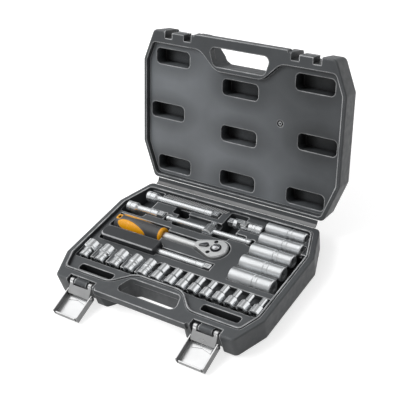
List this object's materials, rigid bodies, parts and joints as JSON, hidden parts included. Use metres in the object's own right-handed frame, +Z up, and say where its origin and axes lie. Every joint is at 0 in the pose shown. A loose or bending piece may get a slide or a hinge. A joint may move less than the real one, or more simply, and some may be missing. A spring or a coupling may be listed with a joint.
{
  "type": "socket wrench set in case",
  "caption": "Open hinged plastic case with a ratchet, spinner handle, extensions, sliding tee bar, universal joint and short and deep sockets in a moulded tray",
  "frame": {"origin": "middle of the base's footprint, on the surface that the case stands on", "axes": "+X runs right along the hinge, +Y back to the hinge, +Z up"},
  "size_m": [0.2518, 0.2868, 0.1918],
  "materials": {
    "case_plastic": "dark grey moulded plastic, fine grain",
    "tray_plastic": "dark grey moulded plastic, fine grain",
    "web_plastic": "thin flexed plastic web, whitened by bending",
    "latch_steel": "bright plated sheet steel",
    "chrome_plate": "polished chrome plate",
    "satin_chrome": "satin chrome",
    "ball_steel": "polished hard steel",
    "screw_steel": "plain steel",
    "grip_rubber": "grey moulded soft grip",
    "orange_plastic": "orange moulded soft inlay",
    "black_plastic": "near-black moulded plastic"
  },
  "bodies": {
    "base": {"base_shell": "case_plastic", "tool_tray": "tray_plastic", "hinge_base_flap": "web_plastic"},
    "lid": {"lid_shell": "case_plastic", "lid_liner": "tray_plastic", "hinge_lid_flap": "web_plastic"},
    "left_link": {"left_latch_link": "latch_steel"},
    "left_lever": {"left_latch_lever": "latch_steel", "left_latch_pin": "latch_steel"},
    "right_link": {"right_latch_link": "latch_steel"},
    "right_lever": {"right_latch_lever": "latch_steel", "right_latch_pin": "latch_steel"},
    "ratchet": {"ratchet_head": "satin_chrome", "ratchet_cover": "satin_chrome", "ratchet_cover_screws": "screw_steel", "ratchet_grip": "grip_rubber", "ratchet_grip_inlays": "orange_plastic", "ratchet_grip_eyelet": "orange_plastic", "ratchet_grip_collar": "orange_plastic"},
    "ratchet_drive": {"ratchet_gear": "satin_chrome", "ratchet_ball": "ball_steel"},
    "ratchet_release": {"ratchet_button": "ball_steel"},
    "ratchet_switch": {"ratchet_selector": "black_plastic"},
    "ratchet_dog": {"ratchet_pawl": "screw_steel"},
    "spinner": {"spinner_grip": "black_plastic", "spinner_shaft": "chrome_plate", "spinner_ball": "ball_steel"},
    "long_bar": {"long_extension": "chrome_plate", "long_extension_ball": "ball_steel"},
    "short_bar": {"short_extension": "chrome_plate", "short_extension_ball": "ball_steel"},
    "tee_bar": {"tee_rod": "chrome_plate"},
    "tee_slider": {"tee_head": "chrome_plate", "tee_head_ball": "ball_steel"},
    "universal": {"universal_socket_yoke": "chrome_plate"},
    "universal_centre": {"universal_cross": "satin_chrome"},
    "universal_drive": {"universal_drive_yoke": "chrome_plate", "universal_ball": "ball_steel"},
    "socket_body_13mm": {"socket_13mm": "chrome_plate"},
    "socket_body_12mm": {"socket_12mm": "chrome_plate"},
    "socket_body_11mm": {"socket_11mm": "chrome_plate"},
    "socket_body_10mm": {"socket_10mm": "chrome_plate"},
    "socket_body_9mm": {"socket_9mm": "chrome_plate"},
    "socket_body_8mm": {"socket_8mm": "chrome_plate"},
    "socket_body_7mm": {"socket_7mm": "chrome_plate"},
    "socket_body_6_5mm": {"socket_6_5mm": "chrome_plate"},
    "socket_body_6mm": {"socket_6mm": "chrome_plate"},
    "socket_body_5_5mm": {"socket_5_5mm": "chrome_plate"},
    "socket_body_5mm": {"socket_5mm": "chrome_plate"},
    "socket_body_4_5mm": {"socket_4_5mm": "chrome_plate"},
    "socket_body_4mm": {"socket_4mm": "chrome_plate"},
    "socket_body_3_5mm": {"socket_3_5mm": "chrome_plate"},
    "deep_socket_body_12mm": {"deep_socket_12mm": "chrome_plate"},
    "deep_socket_body_11mm": {"deep_socket_11mm": "chrome_plate"},
    "deep_socket_body_10mm": {"deep_socket_10mm": "chrome_plate"},
    "deep_socket_body_9mm": {"deep_socket_9mm": "chrome_plate"},
    "deep_socket_body_8mm": {"deep_socket_8mm": "chrome_plate"}
  },
  "joints": [
    {"name": "lid_hinge", "type": "hinge", "parent": "base", "child": "lid", "pos_m": [0, 0.0896, 0.026], "axis": [1, 0, 0], "range_deg": [0, 109.7]},
    {"name": "left_link_hinge", "type": "hinge", "parent": "base", "child": "left_link", "pos_m": [-0.079, -0.081, 0.022], "axis": [1, 0, 0], "range_deg": [0, 37]},
    {"name": "left_lever_hinge", "type": "hinge", "parent": "left_link", "child": "left_lever", "pos_m": [-0.079, -0.08903, 0.01308], "axis": [-1, 0, 0], "range_deg": [0, 141]},
    {"name": "right_link_hinge", "type": "hinge", "parent": "base", "child": "right_link", "pos_m": [0.079, -0.081, 0.022], "axis": [1, 0, 0], "range_deg": [0, 37]},
    {"name": "right_lever_hinge", "type": "hinge", "parent": "right_link", "child": "right_lever", "pos_m": [0.079, -0.08903, 0.01308], "axis": [-1, 0, 0], "range_deg": [0, 141]},
    {"name": "ratchet_lift", "type": "slide", "parent": "base", "child": "ratchet", "axis": [0, 0, -1], "range_m": [-0.06, 0]},
    {"name": "spinner_lift", "type": "slide", "parent": "base", "child": "spinner", "axis": [0, 0, -1], "range_m": [-0.06, 0]},
    {"name": "long_bar_lift", "type": "slide", "parent": "base", "child": "long_bar", "axis": [0, 0, -1], "range_m": [-0.06, 0]},
    {"name": "short_bar_lift", "type": "slide", "parent": "base", "child": "short_bar", "axis": [0, 0, -1], "range_m": [-0.06, 0]},
    {"name": "tee_bar_lift", "type": "slide", "parent": "base", "child": "tee_bar", "axis": [0, 0, -1], "range_m": [-0.06, 0]},
    {"name": "universal_lift", "type": "slide", "parent": "base", "child": "universal", "axis": [0, 0, -1], "range_m": [-0.06, 0]},
    {"name": "socket_13mm_lift", "type": "slide", "parent": "base", "child": "socket_body_13mm", "axis": [0, 0, -1], "range_m": [-0.06, 0]},
    {"name": "socket_12mm_lift", "type": "slide", "parent": "base", "child": "socket_body_12mm", "axis": [0, 0, -1], "range_m": [-0.06, 0]},
    {"name": "socket_11mm_lift", "type": "slide", "parent": "base", "child": "socket_body_11mm", "axis": [0, 0, -1], "range_m": [-0.06, 0]},
    {"name": "socket_10mm_lift", "type": "slide", "parent": "base", "child": "socket_body_10mm", "axis": [0, 0, -1], "range_m": [-0.06, 0]},
    {"name": "socket_9mm_lift", "type": "slide", "parent": "base", "child": "socket_body_9mm", "axis": [0, 0, -1], "range_m": [-0.06, 0]},
    {"name": "socket_8mm_lift", "type": "slide", "parent": "base", "child": "socket_body_8mm", "axis": [0, 0, -1], "range_m": [-0.06, 0]},
    {"name": "socket_7mm_lift", "type": "slide", "parent": "base", "child": "socket_body_7mm", "axis": [0, 0, -1], "range_m": [-0.06, 0]},
    {"name": "socket_6_5mm_lift", "type": "slide", "parent": "base", "child": "socket_body_6_5mm", "axis": [0, 0, -1], "range_m": [-0.06, 0]},
    {"name": "socket_6mm_lift", "type": "slide", "parent": "base", "child": "socket_body_6mm", "axis": [0, 0, -1], "range_m": [-0.06, 0]},
    {"name": "socket_5_5mm_lift", "type": "slide", "parent": "base", "child": "socket_body_5_5mm", "axis": [0, 0, -1], "range_m": [-0.06, 0]},
    {"name": "socket_5mm_lift", "type": "slide", "parent": "base", "child": "socket_body_5mm", "axis": [0, 0, -1], "range_m": [-0.06, 0]},
    {"name": "socket_4_5mm_lift", "type": "slide", "parent": "base", "child": "socket_body_4_5mm", "axis": [0, 0, -1], "range_m": [-0.06, 0]},
    {"name": "socket_4mm_lift", "type": "slide", "parent": "base", "child": "socket_body_4mm", "axis": [0, 0, -1], "range_m": [-0.06, 0]},
    {"name": "socket_3_5mm_lift", "type": "slide", "parent": "base", "child": "socket_body_3_5mm", "axis": [0, 0, -1], "range_m": [-0.06, 0]},
    {"name": "deep_socket_12mm_lift", "type": "slide", "parent": "base", "child": "deep_socket_body_12mm", "axis": [0, 0, -1], "range_m": [-0.06, 0]},
    {"name": "deep_socket_11mm_lift", "type": "slide", "parent": "base", "child": "deep_socket_body_11mm", "axis": [0, 0, -1], "range_m": [-0.06, 0]},
    {"name": "deep_socket_10mm_lift", "type": "slide", "parent": "base", "child": "deep_socket_body_10mm", "axis": [0, 0, -1], "range_m": [-0.06, 0]},
    {"name": "deep_socket_9mm_lift", "type": "slide", "parent": "base", "child": "deep_socket_body_9mm", "axis": [0, 0, -1], "range_m": [-0.06, 0]},
    {"name": "deep_socket_8mm_lift", "type": "slide", "parent": "base", "child": "deep_socket_body_8mm", "axis": [0, 0, -1], "range_m": [-0.06, 0]},
    {"name": "ratchet_spin", "type": "hinge", "parent": "ratchet", "child": "ratchet_drive", "pos_m": [0.0245, 0.0175, 0.019], "axis": [0, 0, 1], "continuous": true},
    {"name": "release_press", "type": "slide", "parent": "ratchet_drive", "child": "ratchet_release", "axis": [0, 0, -1], "range_m": [0, 0.0015], "stiffness_N_per_m": 900, "springref_m": -0.002},
    {"name": "direction_switch", "type": "hinge", "parent": "ratchet", "child": "ratchet_switch", "pos_m": [0.0127, 0.0175, 0.026], "axis": [0, 0, 1], "range_deg": [-50, 0]},
    {"name": "pawl_rock", "type": "hinge", "parent": "ratchet", "child": "ratchet_dog", "pos_m": [0.0127, 0.0175, 0.019], "axis": [0, 0, 1], "range_deg": [-8, 0]},
    {"name": "tee_slide", "type": "slide", "parent": "tee_bar", "child": "tee_slider", "axis": [1, 0, 0], "range_m": [-0.039, 0.006]},
    {"name": "universal_pitch", "type": "hinge", "parent": "universal", "child": "universal_centre", "pos_m": [0.0315, 0.062, 0.0226], "axis": [0, -1, 0], "range_deg": [-25, 25]},
    {"name": "universal_yaw", "type": "hinge", "parent": "universal_centre", "child": "universal_drive", "pos_m": [0.0315, 0.062, 0.0226], "axis": [0, 0, 1], "range_deg": [-25, 25]}
  ],
  "couplings": [
    {"joint": "left_link_hinge", "follows": "left_lever_hinge", "ratio": 0.26241},
    {"joint": "right_link_hinge", "follows": "right_lever_hinge", "ratio": 0.26241},
    {"joint": "pawl_rock", "follows": "direction_switch", "ratio": 0.16}
  ]
}
